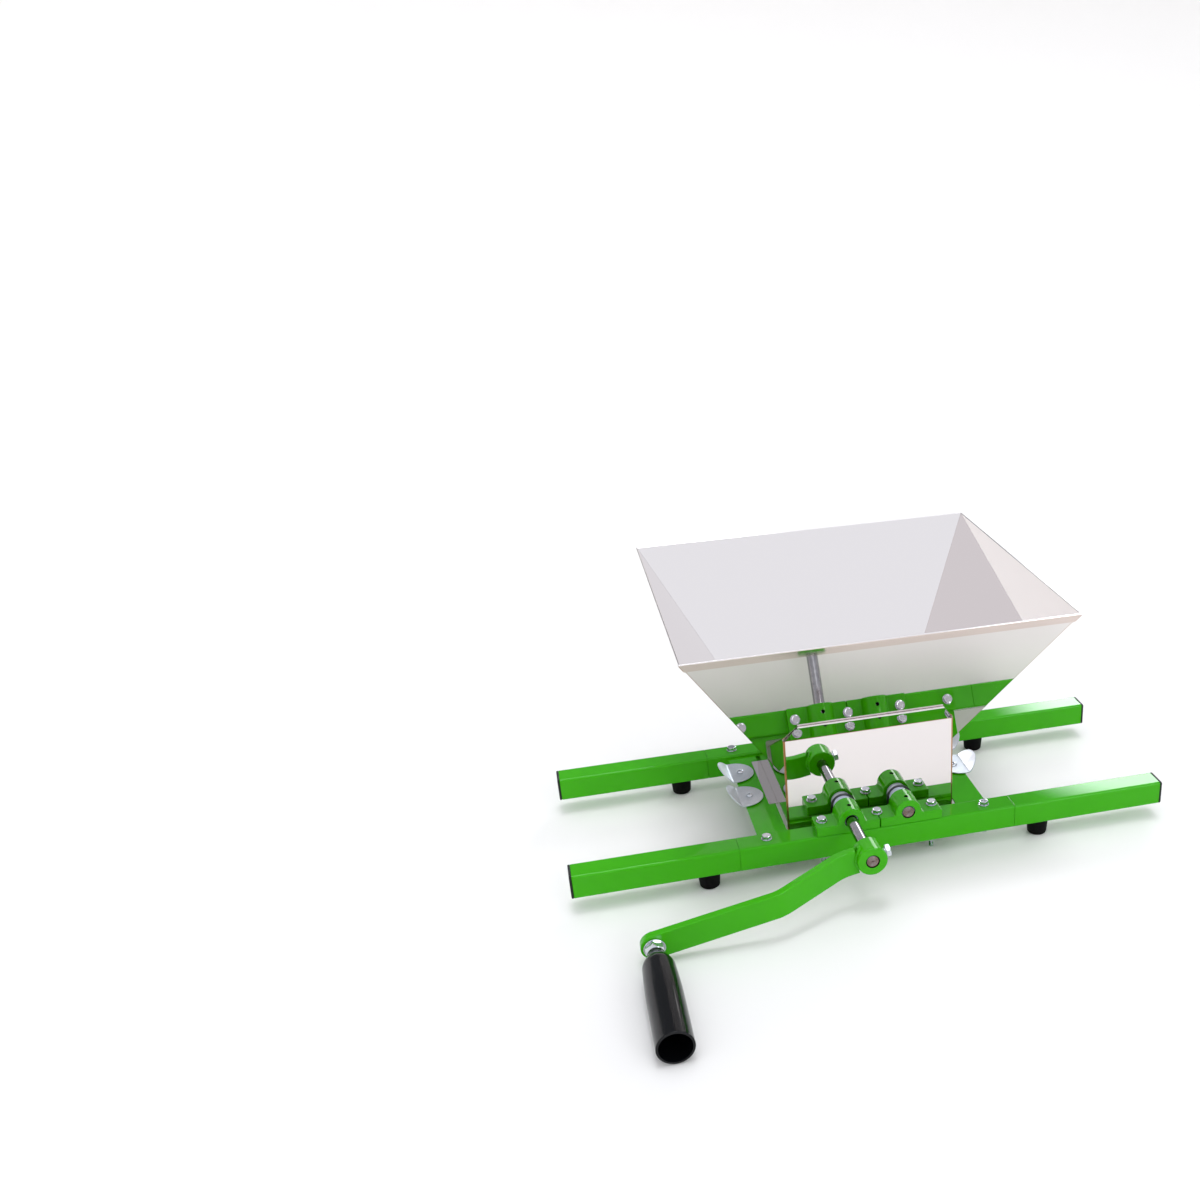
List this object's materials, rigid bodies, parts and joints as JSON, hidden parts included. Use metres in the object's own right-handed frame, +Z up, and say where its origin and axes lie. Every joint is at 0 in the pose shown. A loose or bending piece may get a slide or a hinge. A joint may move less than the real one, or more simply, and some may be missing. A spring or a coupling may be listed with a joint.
{
  "type": "apple scratter",
  "caption": "Hand cranked fruit crusher: square sheet hopper over two geared toothed rollers on a two-tube frame with pull-out arms, rubber feet and a cranked handle.",
  "frame": {"origin": "under the middle of the whole object's box, on the plane of the feet", "axes": "+X along the tubes to the right, +Y from the crank to the back, +Z up"},
  "size_m": [0.732, 0.6458, 0.309],
  "materials": {
    "green_powder_coat": "glossy leaf green powder coat",
    "black_cap_plastic": "moulded black polyethylene",
    "black_rubber": "matt black rubber",
    "zinc_steel": "bright zinc plated steel",
    "white_nylon": "bluish white nylon",
    "ground_steel": "ground bright steel bar",
    "cast_aluminium": "cast food grade aluminium",
    "cut_steel": "machined steel with a film of grease",
    "polished_stainless": "mirror polished stainless sheet",
    "black_grip_plastic": "semi-gloss black moulded plastic"
  },
  "bodies": {
    "frame": {"front_tube": "green_powder_coat", "rear_tube": "green_powder_coat", "cross_plate": "green_powder_coat", "arm_front_left": "green_powder_coat", "arm_front_right": "green_powder_coat", "arm_rear_left": "green_powder_coat", "arm_rear_right": "green_powder_coat", "end_caps": "black_cap_plastic", "rubber_feet": "black_rubber", "foot_screws": "zinc_steel", "arm_bolts": "zinc_steel", "arm_washers": "zinc_steel", "arm_nuts": "zinc_steel", "block_front_drive": "green_powder_coat", "block_front_driven": "green_powder_coat", "block_rear_drive": "green_powder_coat", "block_rear_driven": "green_powder_coat", "bearing_bushes": "white_nylon", "block_bolts": "zinc_steel", "block_washers": "zinc_steel", "block_nuts": "zinc_steel", "hopper_front": "polished_stainless", "hopper_rear": "polished_stainless", "hopper_left": "polished_stainless", "hopper_right": "polished_stainless", "gear_guard": "polished_stainless", "clamp_spacers": "zinc_steel", "clamp_screws": "zinc_steel", "clamp_nuts": "zinc_steel"},
    "crank_and_drive_roller": {"drive_shaft": "ground_steel", "drive_roller": "cast_aluminium", "drive_gear": "cut_steel", "drive_pins": "ground_steel", "crank_hub": "green_powder_coat", "crank_arm": "green_powder_coat", "crank_set_screw": "zinc_steel", "handle_bolt": "zinc_steel", "handle_washer": "zinc_steel", "handle_nuts": "zinc_steel"},
    "driven_roller_set": {"driven_shaft": "ground_steel", "driven_roller": "cast_aluminium", "driven_gear": "cut_steel", "driven_pins": "ground_steel"},
    "grip": {"handle_grip": "black_grip_plastic"},
    "clamp_front_left": {"clamp_disc_front_left": "zinc_steel"},
    "clamp_front_right": {"clamp_disc_front_right": "zinc_steel"},
    "clamp_rear_left": {"clamp_disc_rear_left": "zinc_steel"},
    "clamp_rear_right": {"clamp_disc_rear_right": "zinc_steel"}
  },
  "joints": [
    {"name": "crank_turn", "type": "hinge", "parent": "frame", "child": "crank_and_drive_roller", "pos_m": [-0.035, 0.09488, 0.065], "axis": [0, 1, 0], "continuous": true},
    {"name": "driven_roller_turn", "type": "hinge", "parent": "frame", "child": "driven_roller_set", "pos_m": [0.035, 0.09488, 0.065], "axis": [0, 1, 0], "continuous": true},
    {"name": "grip_spin", "type": "hinge", "parent": "crank_and_drive_roller", "child": "grip", "pos_m": [-0.28609, -0.24612, 0.0205], "axis": [0, 1, 0], "continuous": true},
    {"name": "clamp_front_left_turn", "type": "hinge", "parent": "frame", "child": "clamp_front_left", "pos_m": [-0.1345, 0.08788, 0.048], "axis": [0, 0, 1], "continuous": true},
    {"name": "clamp_front_right_turn", "type": "hinge", "parent": "frame", "child": "clamp_front_right", "pos_m": [0.1345, 0.08788, 0.048], "axis": [0, 0, 1], "continuous": true},
    {"name": "clamp_rear_left_turn", "type": "hinge", "parent": "frame", "child": "clamp_rear_left", "pos_m": [-0.1345, 0.15188, 0.048], "axis": [0, 0, 1], "continuous": true},
    {"name": "clamp_rear_right_turn", "type": "hinge", "parent": "frame", "child": "clamp_rear_right", "pos_m": [0.1345, 0.15188, 0.048], "axis": [0, 0, 1], "continuous": true}
  ],
  "couplings": [
    {"joint": "driven_roller_turn", "follows": "crank_turn", "ratio": -1}
  ]
}
